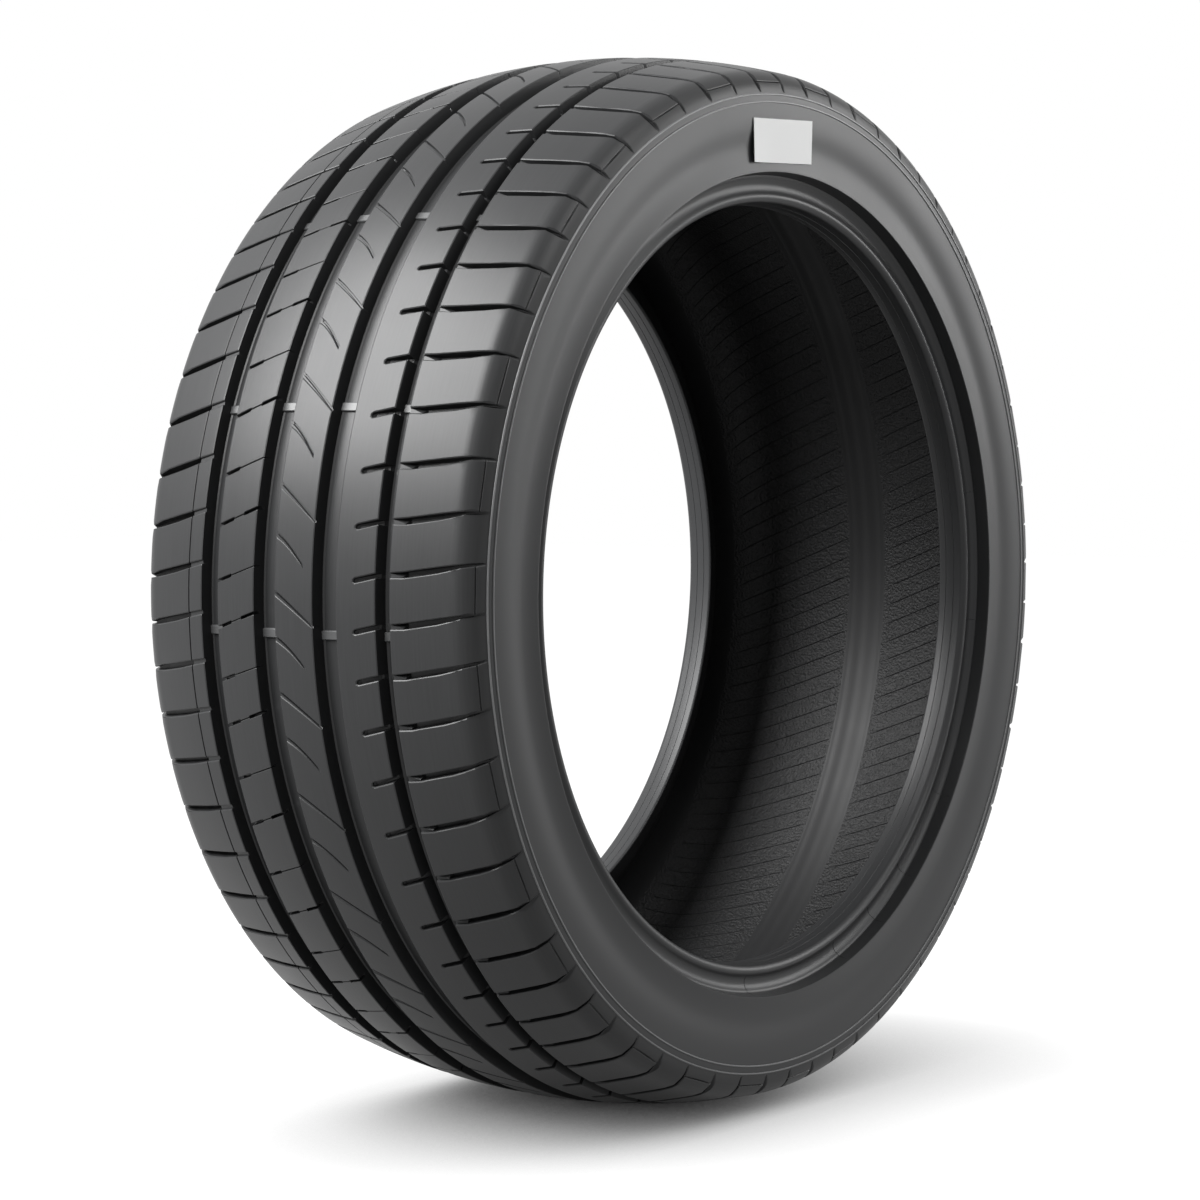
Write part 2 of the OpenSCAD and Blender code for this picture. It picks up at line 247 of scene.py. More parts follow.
# Slot of the outer rib, which runs on into the outer shoulder groove
SLOT_SHARE = 0.44
SLOT_W = 3
SLOT_DEPTH = 5.5
SLOT_END_DEPTH = 1.2
SLOT_RAMP = 4
SLOT_ROUND = 1.5
SLOT_TURNS = (12, 36, 62, 90)
SLOT_SHIFT = 4.1
SLOT_LEAN = 0.3
SLOT_SHIFT_IN = 0.9
SLOT_SHIFT_OUT = 0.5

# Sipe of the inner rib. Its shifts are those of its two ends.
RIB_SIPE_W = 2
THIN_SIPE_W = 0.6
RIB_SIPE_DEPTH = 4.5
RIB_SIPE_KNEES = (0.39, 0.64)
KNEE = 0.01
ONE_THICK = (7, -3)
BOTH_THICK = (5, -5.6)

# Sipe of the centre rib: the shift of its start, its rise and its bend, for the long and the short one
CENTRE_SIPE_W = 3.3
CENTRE_SIPE_TAPER = 1.7
CENTRE_SIPE_DEPTH = 2.5
CENTRE_SIPE_END_DEPTH = 1.4
CENTRE_SIPE_STATIONS = 9
LONG_SIPE = (11.4, 21, 0.12)
SHORT_SIPE = (8.6, 18, 0.45)
SHORT_SIPE_SHARE = 0.73

# Fine groove between the ends of two outer shoulder grooves
LINK_W = 0.9
LINK_DEPTH = 0.8
LINK_ANGLE = 61

OVERRUN = 1
GROOVE_END = HALF_W - TIP_IN
OUTER_EDGE = GROOVE_AT[3] + GROOVE_W[3] / 2
INNER_EDGE = GROOVE_AT[0] - GROOVE_W[0] / 2
RIB_EDGE = GROOVE_AT[2] + GROOVE_W[2] / 2
SLOT_FROM = RIB_EDGE + (GROOVE_AT[3] - GROOVE_W[3] / 2 - RIB_EDGE) * SLOT_SHARE
RIB_FROM = GROOVE_AT[0] + GROOVE_W[0] / 2 - OVERRUN
RIB_TO = GROOVE_AT[1] - GROOVE_W[1] / 2 + OVERRUN
CENTRE_FROM = GROOVE_AT[1] + GROOVE_W[1] / 2 - OVERRUN
CENTRE_TO = GROOVE_AT[2] - GROOVE_W[2] / 2 + OVERRUN


def outer_at(share):
    return OUTER_EDGE + (GROOVE_END - OUTER_EDGE) * share


def inner_at(share):
    return INNER_EDGE - (GROOVE_END + INNER_EDGE) * share


THIN_AT = inner_at(THIN_SHARE)


def outer_shoulder_groove():
    """Slot and outer shoulder groove, on one line across the outer main groove."""
    stations = [[SLOT_FROM + SLOT_ROUND * (1 - math.cos(a)), SLOT_SHIFT - SLOT_LEAN * (1 - math.cos(a)),
                 SLOT_W * math.sin(a)] for a in np.radians(SLOT_TURNS)]
    stations += [[OUTER_EDGE - GROOVE_W[3], SLOT_SHIFT_IN, SLOT_W], [OUTER_EDGE, SLOT_SHIFT_OUT, SLOT_W]]
    stations += [[outer_at(share), shift, SHOULDER_GROOVE_W * width] for share, shift, width in OUTER_PATH]
    stations.append([GROOVE_END, OUTER_TIP_SHIFT, TIP_W])
    depths = [[SLOT_FROM, SLOT_END_DEPTH], [SLOT_FROM + SLOT_RAMP, SLOT_DEPTH], [GROOVE_AT[3], SLOT_DEPTH],
              [GROOVE_AT[3] + STEP_RAMP, STEP_DEPTH]]
    depths += [[outer_at(share), depth] for share, depth in OUTER_DEPTHS]
    return Groove(stations, depths + [[GROOVE_END, TIP_DEPTH]])


def inner_shoulder_groove():
    """Inner shoulder groove, which ends in a shallow step past the thin groove."""
    stations = [[-GROOVE_END, INNER_TIP_SHIFT, TIP_W]]
    stations += [[inner_at(share), shift, SHOULDER_GROOVE_W * width] for share, shift, width in INNER_PATH]
    stations += [[THIN_AT, INNER_THIN_SHIFT, INNER_THIN_W],
                 [INNER_EDGE + OVERRUN, INNER_LAST_SHIFT, INNER_LAST_W]]
    depths = [[-GROOVE_END, TIP_DEPTH]] + [[inner_at(share), depth] for share, depth in INNER_DEPTHS]
    depths += [[THIN_AT - STEP_RAMP, SHOULDER_DEPTH], [THIN_AT + INNER_THIN_RAMP, STEP_DEPTH],
               [INNER_EDGE + OVERRUN, STEP_DEPTH]]
    return Groove(stations, depths)


def rib_sipe(both_thick):
    """Sipe of the inner rib, which is thick at one end or at both."""
    first, last = BOTH_THICK if both_thick else ONE_THICK
    end_w = RIB_SIPE_W if both_thick else THIN_SIPE_W
    near, far = RIB_SIPE_KNEES
    spots = ((0, RIB_SIPE_W), (near, RIB_SIPE_W), (near + KNEE, THIN_SIPE_W), (far, THIN_SIPE_W),
             (far + KNEE, end_w), (1, end_w))
    return Groove([[RIB_FROM + (RIB_TO - RIB_FROM) * t, first + (last - first) * t, w] for t, w in spots],
                  [[RIB_FROM, RIB_SIPE_DEPTH], [RIB_TO, RIB_SIPE_DEPTH]], edge=0.3)


def centre_sipe(long):
    """Curved sipe of the centre rib: a slit with a bevelled shelf below it."""
    stop = CENTRE_TO if long else CENTRE_FROM + (CENTRE_TO - CENTRE_FROM) * SHORT_SIPE_SHARE
    start, rise, bend = LONG_SIPE if long else SHORT_SIPE
    stations = [[CENTRE_FROM + (stop - CENTRE_FROM) * t, start + rise * t * (1 - bend + bend * t),
                 CENTRE_SIPE_W - CENTRE_SIPE_TAPER * t] for t in np.linspace(0, 1, CENTRE_SIPE_STATIONS)]
    return Groove(stations, [[CENTRE_FROM, CENTRE_SIPE_DEPTH], [stop, CENTRE_SIPE_END_DEPTH]],
                  wall=0.18, edge=0.35, slit=1.2, shelf=0.5)


def link():
    """Fine groove from the end of an even pitch's shoulder groove to the end of the next one."""
    v = SHOULDER_C[1] + SHOULDER_R * math.sin(math.radians(LINK_ANGLE))
    outer = outer_shoulder_groove()
    near, far = 0.2, 1
    groove = Groove([[v - near, 0, PITCH], [v + near, 0, PITCH]],
                    [[v - far, LINK_DEPTH], [v + far, LINK_DEPTH]], wall=0.15, edge=0.3)
    groove.arc = np.array([-0.5, 0.5]) * LINK_W + arc_of(v)
    groove.mid = groove.mid + np.interp(arc_of(v), outer.arc, outer.mid) + PITCH / 2
    return groove


def sector_grooves():
    """(shift, groove) for the two pitches of the sector and the ones beside it."""
    kinds = ([outer_shoulder_groove(), inner_shoulder_groove(), rib_sipe(False), centre_sipe(True), link()],
             [outer_shoulder_groove(), inner_shoulder_groove(), rib_sipe(True), centre_sipe(False)])
    pitches = range(-PITCHES_BESIDE, 2 + PITCHES_BESIDE)
    return [(i * PITCH, groove) for i in pitches for groove in kinds[i % 2]]


def ring_grooves():
    """(middle, half width, depth, lean, edge) of the grooves that run round the tyre."""
    main = [(arc_of(v), w / 2, GROOVE_DEPTH, GROOVE_LEAN, GROOVE_EDGE) for v, w in zip(GROOVE_AT, GROOVE_W)]
    return main + [(arc_of(THIN_AT), THIN_W / 2, THIN_DEPTH, THIN_LEAN, THIN_EDGE)]


def ring_depth(arc, groove):
    """Depth of a groove that runs round the tyre, at distances along the section."""
    mid, half, depth, lean, edge = groove
    inside = half - np.abs(arc - mid)
    corner = min(FLOOR_ROUND, half / 2)
    return np.interp(inside, [-edge, 0, lean, lean + corner], [0, edge * RING_RIM, depth - corner / 2, depth])


# Sheet of two pitches
SAME = 1e-9
CUT_REACH = 1e-4
LEAST = 1e-6
LEAST_LENGTH = 1e-12
EDGE_REACH = 1e-5
EDGE_MATCH = 1e-3
ROW_DECIMALS = 6
ROW_STEP = 6.0
ROW_CLEAR = 0.8
MIDDLE_IN = 14
SHOULDER_LEAD = 8
SHOULDER_ROWS = 13
LEVEL = 0.985


def clip(p, q):
    """The part of the line p-q between the sheet's two ends, or None."""
    (x0, y0), (x1, y1) = p, q
    if (x0 < LOW and x1 < LOW) or (x0 > HIGH and x1 > HIGH):
        return None
    if abs(x1 - x0) < SAME:
        return p, q
    t0, t1 = sorted(((LOW - x0) / (x1 - x0), (HIGH - x0) / (x1 - x0)))
    t0, t1 = max(t0, 0), min(t1, 1)
    if t1 - t0 < SAME:
        return None
    return tuple((min(max(x0 + (x1 - x0) * t, LOW), HIGH), y0 + (y1 - y0) * t) for t in (t0, t1))


def sheet_lines(grooves, rings):
    """Points of the flat sheet, and the lines between them that it is cut along."""
    points, edges = [], []

    def line(p, q):
        points.extend((p, q))
        edges.append((len(points) - 2, len(points) - 1))

    for shift, groove in grooves:
        for chain in groove.lines():
            moved = [(x + shift, y) for x, y in chain]
            for p, q in zip(moved, moved[1:]):
                part = clip(p, q)
                if part:
                    line(*part)
    columns = np.linspace(LOW, HIGH, COLUMNS + 1)
    rows = [-END_ARC, END_ARC]
    for mid, half, _, lean, edge in rings:
        for inside in (-edge, 0, lean, lean + min(FLOOR_ROUND, half / 2)):
            rows += [mid - half + inside, mid + half - inside]
    for y in sorted(set(np.round(rows, ROW_DECIMALS))):
        for a, b in zip(columns, columns[1:]):
            line((a, y), (b, y))
    for x in (LOW, HIGH):
        line((x, -END_ARC), (x, END_ARC))
    shoulder = np.linspace(CROWN_ARC - SHOULDER_LEAD, END_ARC, SHOULDER_ROWS)[:-1]
    middle = np.arange(-CROWN_ARC + MIDDLE_IN, CROWN_ARC - MIDDLE_IN + 1, ROW_STEP)
    for y in np.concatenate([-shoulder, middle, shoulder]):
        for x in columns:
            if x in (LOW, HIGH) or all(abs(y - row) > ROW_CLEAR for row in rows):
                points.append((x, y))
    return points, edges


def sheet():
    """Points [x, arc] of one sector, their depths and its triangles."""
    grooves, rings = sector_grooves(), ring_grooves()
    points, edges = sheet_lines(grooves, rings)
    verts, _, faces, *_ = delaunay_2d_cdt([Vector(p) for p in points], edges, [], 0, CUT_REACH)
    flat = np.array([tuple(v) for v in verts])
    tris = np.array([f for f in faces if len(f) == 3])
    span = flat[tris]
    area = np.cross(span[:, 1] - span[:, 0], span[:, 2] - span[:, 0]) / 2
    real = np.abs(area) > LEAST
    tris, area = tris[real], area[real]
    tris[area < 0] = tris[area < 0][:, ::-1]
    depth = np.zeros(len(flat))
    for shift, groove in grooves:
        depth = np.maximum(depth, groove.depth_at(flat[:, 0] - shift, flat[:, 1]))
    for ring in rings:
        depth = np.maximum(depth, ring_depth(flat[:, 1], ring))
    return flat, depth, tris


def pitch_angle(even):
    """Angle round the tyre for an even angle, which varies the pitch lengths."""
    return FIRST_PITCH + even - PITCH_SWING * np.sin(np.radians(SWING_WAVES * even + SWING_PHASE))


def bend(flat, depth, start):
    """Points of the sheet on the tyre, and the normals of the undisturbed tread there."""
    r, v, lean = skin(flat[:, 1])
    angle = np.radians(pitch_angle(start + flat[:, 0] / DEGREE))
    sink = np.sign(lean) * np.maximum(np.abs(lean) - CROWN_END, 0)
    rr = r - depth * np.cos(sink)
    vv = v - depth * np.sin(sink)
    place = np.stack([rr * np.cos(angle), -vv, rr * np.sin(angle)], axis=1)
    normal = np.stack([np.cos(lean) * np.cos(angle), -np.sin(lean), np.cos(lean) * np.sin(angle)], axis=1)
    place[:, 2] = np.maximum(place[:, 2], REST_Z)
    return place, normal


def tread_mesh():
    """Points, triangles and corner normals of the whole tread."""
    flat, depth, tris = sheet()
    count = PITCHES // 2
    left = np.where(np.abs(flat[:, 0] - LOW) < EDGE_REACH)[0]
    right = np.where(np.abs(flat[:, 0] - HIGH) < EDGE_REACH)[0]
    left = left[np.argsort(flat[left, 1])]
    right = right[np.argsort(flat[right, 1])]
    if len(left) != len(right) or np.abs(flat[left, 1] - flat[right, 1]).max() > EDGE_MATCH:
        raise ValueError("the sheet's two ends differ")
    depth[right] = depth[left]
    kept = np.setdiff1d(np.arange(len(flat)), right)
    index = np.full(len(flat), -1)
    index[kept] = np.arange(len(kept))
    places, normals, faces = [], [], []
    for k in range(count):
        place, normal = bend(flat[kept], depth[kept], k * 720 / PITCHES)
        places.append(place)
        normals.append(normal)
        own = index[tris] + k * len(kept)
        after = ((k + 1) % count) * len(kept)
        for a, b in zip(left, right):
            own[tris == b] = index[a] + after
        faces.append(own)
    place, normal, face = (np.concatenate(part) for part in (places, normals, faces))
    land = np.tile(np.abs(depth[tris]).max(axis=1) < LEAST, count)
    return place, face, corner_normals(place, normal, face, land)


def corner_normals(place, normal, face, land):
    """The tread's own normals on its land and on level floors, and flat ones on the walls."""
    a, b, c = (place[face[:, i]] for i in range(3))
    flat = np.cross(b - a, c - a)
    flat /= np.maximum(np.linalg.norm(flat, axis=1), LEAST_LENGTH)[:, None]
    corners = np.repeat(flat[:, None, :], 3, axis=1)
    base = normal[face]
    along = np.einsum("ijk,ijk->ij", corners, base)
    level = land | (along.min(axis=1) > LEVEL)
    corners[level] = base[level]
    return corners.reshape(-1, 3)


# Wear bars
BAR_H = 1.6
BAR_LEN = 5
BAR_GROUPS = 3
BARS_IN_GROUP = 3
BAR_STEP = 23
FIRST_BAR = 137.4
BAR_ROUND = 0.35
BAR_FOOT = 0.4
BAR_CLEAR = 0.1
BAR_COLUMNS = 7


def wear_bars():
    """Points and quads of all the wear bars, which rise from the floors of the main grooves."""
    points, faces = [], []
    half = BAR_LEN / 2
    top = GROOVE_DEPTH - BAR_H
    foot = GROOVE_DEPTH + BAR_FOOT
    rows = [(-half - BAR_FOOT, foot), (-half, top + BAR_ROUND), (-half + BAR_ROUND, top),
            (half - BAR_ROUND, top), (half, top + BAR_ROUND), (half + BAR_FOOT, foot)]
    centres = [FIRST_BAR + 360 / BAR_GROUPS * g + BAR_STEP * i
               for g in range(BAR_GROUPS) for i in range(BARS_IN_GROUP)]
    for centre in centres:
        for at, w in zip(GROOVE_AT, GROOVE_W):
            arcs = arc_of(at) + np.linspace(-w / 2 + BAR_CLEAR, w / 2 - BAR_CLEAR, BAR_COLUMNS)
            r, v, _ = skin(arcs)
            first = len(points)
            for along, depth in rows:
                angle = math.radians(centre + along / DEGREE)
                points += [((ri - depth) * math.cos(angle), -vi, (ri - depth) * math.sin(angle))
                           for ri, vi in zip(r, v)]
            for i in range(len(rows) - 1):
                for j in range(len(arcs) - 1):
                    p = first + i * len(arcs) + j
                    faces.append((p, p + len(arcs), p + len(arcs) + 1, p + 1))
    return points, faces


# Flange hollow with its ledge, and bead
HOLLOW_H = 9
HOLLOW_DEPTH = 11
HOLLOW_R = 6.5
HOLLOW_FROM = -42
HOLLOW_TO = -130
HOLLOW_STEPS = 16
GUARD_EDGE_UP = 0.5
GUARD_EDGE_IN = 0.03
GUARD_EDGE = ((0.2, 0.13), (0, 0.4), (-0.06, 0.8))
LEDGE = 0.8
LEDGE_ROUND = (0.1, 0.3)
LEDGE_LEAN = 0.9
TOE_SQUEEZE = 1.8
TOE_ROUND = 1.6
TOE_LAND = 5
TOE_STEPS = 6
SEAT_TAPER = 5
SEAT_W = 19
HEEL_IN = 9.5
HEEL_R = 4
HEEL_FROM = 80
HEEL_STEPS = 12
NOTCHES = (4.4, -1.2)
NOTCH = 0.25

# Rows of the sidewall, and the profile of its fine rings
WALL_ROWS = 36
RING_PROFILE = ((0.55, 0), (0.5, 0.4), (0.36, 0.86), (0.12, 1),
                (-0.12, 1), (-0.36, 0.86), (-0.5, 0.4), (-0.55, 0))
RING_SHOWN = 0.98
RING_BETWEEN = (0.3, 0.5, 0.7)

# Liner and its band
LINER_SAG = 2.1
LINER_IN = 6
LINER_STEPS = 15
CORNER_SHARES = (0.41, 0.625)
CORNER_FROM = 6
BAND_AT = -12
BAND_HALF = 14
BAND_STEP = 0.3
BAND_RIDGE = 1.2
BAND_SIDE = 0.25
RIDGE_HALF = 0.7
OUTER_ROWS = 8
BAND_ROWS = 41
INNER_ROWS = 7

GUARD_R = RIM_SEAT_R + GUARD_H
GUARD_OUT = HALF_W - DIP + GUARD_RISE
DIP_R = GUARD_R + (BULGE_C[0] - GUARD_R) * DIP_SHARE
HOLLOW_C = (RIM_SEAT_R + HOLLOW_H, GUARD_OUT - HOLLOW_DEPTH + HOLLOW_R)
TOE_R = RIM_SEAT_R - TOE_SQUEEZE
HEEL_OUT = HALF_W - HEEL_IN
TOE_OUT = HEEL_OUT - SEAT_W
LAND_OUT = TOE_OUT + TOE_ROUND + TOE_LAND
SEAT_R = TOE_R + (HEEL_OUT - HEEL_R - LAND_OUT) * math.tan(math.radians(SEAT_TAPER))
LINER_R = OUTER_R - CROWN_T
LINER_LOW = TOE_R + TOE_ROUND
BULGE_IN = HALF_W - WALL_T
CORNER = (RIM_SEAT_R + SECTION_H * CORNER_SHARES[0], BULGE_IN * CORNER_SHARES[1])


def ease(t):
    return (1 - math.cos(math.pi * t)) / 2


def arc_points(centre, radius, start, end, steps):
    return [(centre[0] + radius * math.cos(a), centre[1] + radius * math.sin(a))
            for a in np.radians(np.linspace(start, end, steps + 1))]


def wall_out(r):
    """Offset of the sidewall's surface at a radius."""
    if r > BULGE_C[0]:
        return BULGE_C[1] + math.sqrt(BULGE_R ** 2 - (r - BULGE_C[0]) ** 2)
    if r > DIP_R:
        return HALF_W - DIP * ease(((BULGE_C[0] - r) / (BULGE_C[0] - DIP_R)) ** BULGE_HOLD)
    return GUARD_OUT - GUARD_RISE * math.cos(math.pi / 2 * (DIP_R - r) / (DIP_R - GUARD_R))


def hollow_side():
    """Section of the flange hollow, from the rim guard's edge to the heel."""
    ledge_r = HOLLOW_C[0] + HOLLOW_R * math.cos(math.radians(HOLLOW_FROM))
    ledge_out = HOLLOW_C[1] + HOLLOW_R * math.sin(math.radians(HOLLOW_FROM))
    edge_r = GUARD_R + GUARD_EDGE_UP
    edge = [(edge_r, wall_out(edge_r) - GUARD_EDGE_IN)]
    edge += [(GUARD_R + up, GUARD_OUT - down) for up, down in GUARD_EDGE]
    ledge = [(ledge_r + 2 * LEDGE + LEDGE_ROUND[0], ledge_out + 2 * LEDGE + LEDGE_ROUND[1]),
             (ledge_r + 2 * LEDGE, ledge_out + LEDGE), (ledge_r + LEDGE, ledge_out + LEDGE * LEDGE_LEAN)]
    return edge + ledge + arc_points(HOLLOW_C, HOLLOW_R, HOLLOW_FROM, HOLLOW_TO, HOLLOW_STEPS)


def outer_wall():
    """Section of one side from the tread's edge to the toe, as [radius, offset]."""
    wall = [(RING_AT[0] + RING_CLEAR, wall_out(RING_AT[0] + RING_CLEAR))]
    for at in RING_AT:
        wall += [(at + RING_W * d, wall_out(at + RING_W * d) + RING_SHOWN * RING_H * h)
                 for d, h in RING_PROFILE]
        if at == RING_AT[0]:
            wall += [(at - RING_GAP * t, wall_out(at - RING_GAP * t)) for t in RING_BETWEEN]
    wall += [(r, wall_out(r)) for r in np.linspace(RING_AT[1] - 1, GUARD_R + 1, WALL_ROWS)]
    heel = arc_points((SEAT_R + HEEL_R, HEEL_OUT - HEEL_R), HEEL_R, HEEL_FROM, 180, HEEL_STEPS)
    seat = []
    for beyond in NOTCHES:
        at = LAND_OUT + beyond
        r = TOE_R + max(0, at - LAND_OUT) * math.tan(math.radians(SEAT_TAPER))
        seat += [(r, at + NOTCH), (r + NOTCH, at), (r, at - NOTCH)]
        if at > LAND_OUT:
            seat.append((TOE_R, LAND_OUT))
    toe = arc_points((TOE_R + TOE_ROUND, TOE_OUT + TOE_ROUND), TOE_ROUND, 180, 270, TOE_STEPS)
    return wall + hollow_side() + heel + seat + toe


def liner_at(v):
    return LINER_R - LINER_SAG * (v / CORNER[1]) ** 2


def band_rise(v):
    """How far the smooth band of the liner stands proud at an offset."""
    across = abs(v - BAND_AT) / BAND_HALF
    step = BAND_STEP * ease(min(max((1 - across) / BAND_SIDE, 0), 1))
    return step + (BAND_RIDGE - BAND_STEP) * ease(min(max((RIDGE_HALF - across) / RIDGE_HALF, 0), 1))


def liner_side():
    """Section of the liner from the toe to the edge of the crown's inner face."""
    wall = [(LINER_LOW + (CORNER[0] - LINER_LOW) * t, TOE_OUT + (BULGE_IN - TOE_OUT) * ease(t))
            for t in np.linspace(0, 1, LINER_STEPS)]
    high = LINER_R - LINER_SAG - CORNER[0]
    deep = BULGE_IN - CORNER[1]
    return wall + [(CORNER[0] + high * math.sin(a), CORNER[1] + deep * math.cos(a))
                   for a in np.radians(np.linspace(CORNER_FROM, 90, LINER_STEPS))]


def liner():
    """Whole section of the liner, from the outer toe to the inner one."""
    side = liner_side()
    reach = BAND_HALF + 1
    middle = np.concatenate([np.linspace(CORNER[1] - LINER_IN, BAND_AT + reach + 1, OUTER_ROWS),
                             np.linspace(BAND_AT + reach, BAND_AT - reach, BAND_ROWS),
                             np.linspace(BAND_AT - reach - 1, -CORNER[1] + LINER_IN, INNER_ROWS)])
    return side + [(liner_at(v) - band_rise(v), v) for v in middle] + [(r, -v) for r, v in side[::-1]]


# Revolved pieces and fine ridges
RIDGE_FOOT = -0.08
RIDGE_RUN_OUT = 2


def stations():
    """Angles of the sheet's columns, all round the tyre."""
    even = np.arange(COLUMNS * PITCHES // 2) * 720 / PITCHES / COLUMNS + LOW / DEGREE
    return np.radians(pitch_angle(even))


def revolve(section, angles):
    """Points and quads of a section turned round the tyre."""
    section = np.array(section)
    n, steps = len(section), len(angles)
    r, v = section[:, 0], section[:, 1]
    turned = [np.outer(np.cos(angles), r), -np.tile(v, (steps, 1)), np.outer(np.sin(angles), r)]
    place = np.stack(turned, axis=2)
    i, k = np.meshgrid(np.arange(steps), np.arange(n - 1), indexing="ij")
    j = (i + 1) % steps
    faces = np.stack([i * n + k, j * n + k, j * n + k + 1, i * n + k + 1], axis=2)
    return place.reshape(-1, 3), faces.reshape(-1, 4)


def fine_ridges(path, starts, slope, half_w, height):
    """Points and quads of fine ridges that follow a section path, each from an angle of its own.

    The path runs the way of the liner's section, from the outer toe to the inner one. slope is the
    shift round the tyre for each millimetre of the path.
    """
    r, v = np.array(path).T
    arc = np.concatenate([[0], np.cumsum(np.hypot(np.diff(r), np.diff(v)))])
    dr, dv = np.gradient(r, arc), np.gradient(v, arc)
    ends = np.clip(np.minimum(arc, arc[-1] - arc) / RIDGE_RUN_OUT, 0, 1)
    points, faces = [], []
    for start in starts:
        first = len(points)
        for side in (-1, 0, 1):
            lift = np.full(len(r), RIDGE_FOOT)
            if side == 0:
                lift = RIDGE_FOOT + (height - RIDGE_FOOT) * ends
            angle = math.radians(start) + (slope * arc + side * half_w) / r
            rr, vv = r + dv * lift, v - dr * lift
            points += list(zip(rr * np.cos(angle), -vv, rr * np.sin(angle)))
        n = len(r)
        for side in (0, 1):
            for k in range(n - 1):
                p = first + side * n + k
                faces.append((p, p + n, p + n + 1, p + 1))
    return points, faces


def make_mesh(name, points, faces, materials, slots=None, normals=None, sharp=None):
    """A piece of the scene from points in millimetres, with a material number for each face."""
    mesh = bpy.data.meshes.new(name)
    mesh.from_pydata((np.asarray(points) * MM).tolist(), [], np.asarray(faces).tolist())
    for material in materials:
        mesh.materials.append(material)
    if slots is not None:
        mesh.polygons.foreach_set("material_index", np.asarray(slots, dtype=np.int32))
    mesh.polygons.foreach_set("use_smooth", np.ones(len(mesh.polygons), dtype=bool))
    if sharp is not None:
        mesh.set_sharp_from_angle(angle=math.radians(sharp))
    mesh.update()
    if normals is not None:
        mesh.normals_split_custom_set(normals.tolist())
    piece = bpy.data.objects.new(name, mesh)
    bpy.context.scene.collection.objects.link(piece)
    return piece


# Materials
class Nodes:
    """Short calls for the nodes of one tree."""

    def __init__(self, tree):
        self.tree = tree
        self.shader = tree.nodes.get("Principled BSDF")

    def join(self, value, socket):
        if isinstance(value, bpy.types.NodeSocket):
            self.tree.links.new(value, socket)
        else:
            socket.default_value = value

    def add(self, kind, inputs=None, **settings):
        node = self.tree.nodes.new(kind)
        for key, value in settings.items():
            setattr(node, key, value)
        for key, value in (inputs or {}).items():
            self.join(value, node.inputs[key])
        return node

    def set(self, key, value):
        self.join(value, self.shader.inputs[key])

    def place(self):
        return self.add("ShaderNodeTexCoord").outputs["Object"]

    def math(self, operation, first, second):
        return self.add("ShaderNodeMath", {0: first, 1: second}, operation=operation).outputs[0]

    def noise(self, where, scale, detail=3.0):
        inputs = {"Vector": where, "Scale": scale, "Detail": detail}
        return self.add("ShaderNodeTexNoise", inputs).outputs["Fac"]

    def spread(self, value, low, high, from_low=0.25, from_high=0.75):
        inputs = {"Value": value, "From Min": from_low, "From Max": from_high, "To Min": low, "To Max": high}
        return self.add("ShaderNodeMapRange", inputs).outputs["Result"]

    def bump(self, height, strength, distance, normal=None):
        inputs = {"Height": height, "Strength": strength, "Distance": distance}
        if normal is not None:
            inputs["Normal"] = normal
        return self.add("ShaderNodeBump", inputs).outputs["Normal"]

    def tinted(self, colour, value, low, high):
        """A colour whose brightness changes with a noise."""
        inputs = {0: colour, "Scale": self.spread(value, low, high)}
        return self.add("ShaderNodeVectorMath", inputs, operation="SCALE").outputs["Vector"]


def painted(name):
    """A new material, and the short calls for its nodes."""
    material = bpy.data.materials.new(name)
    material.use_nodes = True
    return material, Nodes(material.node_tree)


def mottled(name, colour, scale, detail, tint, rough, gloss=0.5, relief=None, fine=None):
    """Material whose brightness and roughness change with one noise.

    relief is the strength and distance of a bump. It follows a noise of the scale fine, or the same
    noise where fine is None.
    """
    material, nodes = painted(name)
    cloudy = nodes.noise(nodes.place(), scale, detail)
    nodes.set("Base Color", nodes.tinted(colour, cloudy, *tint))
    nodes.set("Roughness", nodes.spread(cloudy, *rough))
    nodes.set("Specular IOR Level", gloss)
    if relief:
        height = nodes.noise(nodes.place(), fine) if fine else cloudy
        nodes.set("Normal", nodes.bump(height, *relief))
    return material


def streaks(nodes, across, along):
    """Noise drawn out round the tyre, with its seam at the floor."""
    parts = nodes.add("ShaderNodeSeparateXYZ", {"Vector": nodes.place()}).outputs
    turn = nodes.math("ARCTAN2", parts["X"], parts["Z"])
    where = nodes.add("ShaderNodeCombineXYZ", {"X": nodes.math("MULTIPLY", turn, along),
                                               "Y": nodes.math("MULTIPLY", parts["Y"], across)})
    return nodes.noise(where.outputs["Vector"], scale=1.0, detail=4.0)


RUBBER = (0.025, 0.0255, 0.0264)
TREAD_BLACK = (0.0155, 0.0158, 0.0163)
# The wear bars' lighter grey is a painted highlight, for the light that their tops catch down in the grooves.
BAR_HIGHLIGHT_GREY = (0.034, 0.0345, 0.0353)
# The ring crests' light grey is a painted highlight along the fine rings of the sidewall.
CREST_HIGHLIGHT_GREY = (0.12, 0.121, 0.123)
# The liner lines' deeper black is painted shade, for the dark lines that the fine ridges show.
LINE_SHADE_BLACK = (0.006, 0.006, 0.0065)
# The liner's blacks, darker than the outer rubber, are painted shade for the inside of the tyre.
BAND_SHADE_BLACK = (0.011, 0.0111, 0.0115)
GRAIN_SHADE_BLACK = (0.0105, 0.0106, 0.0109)
CARD_WHITE = (0.9, 0.905, 0.9)
SATIN = (0.36, 0.42)
RUBBER_GLOSS = 0.22


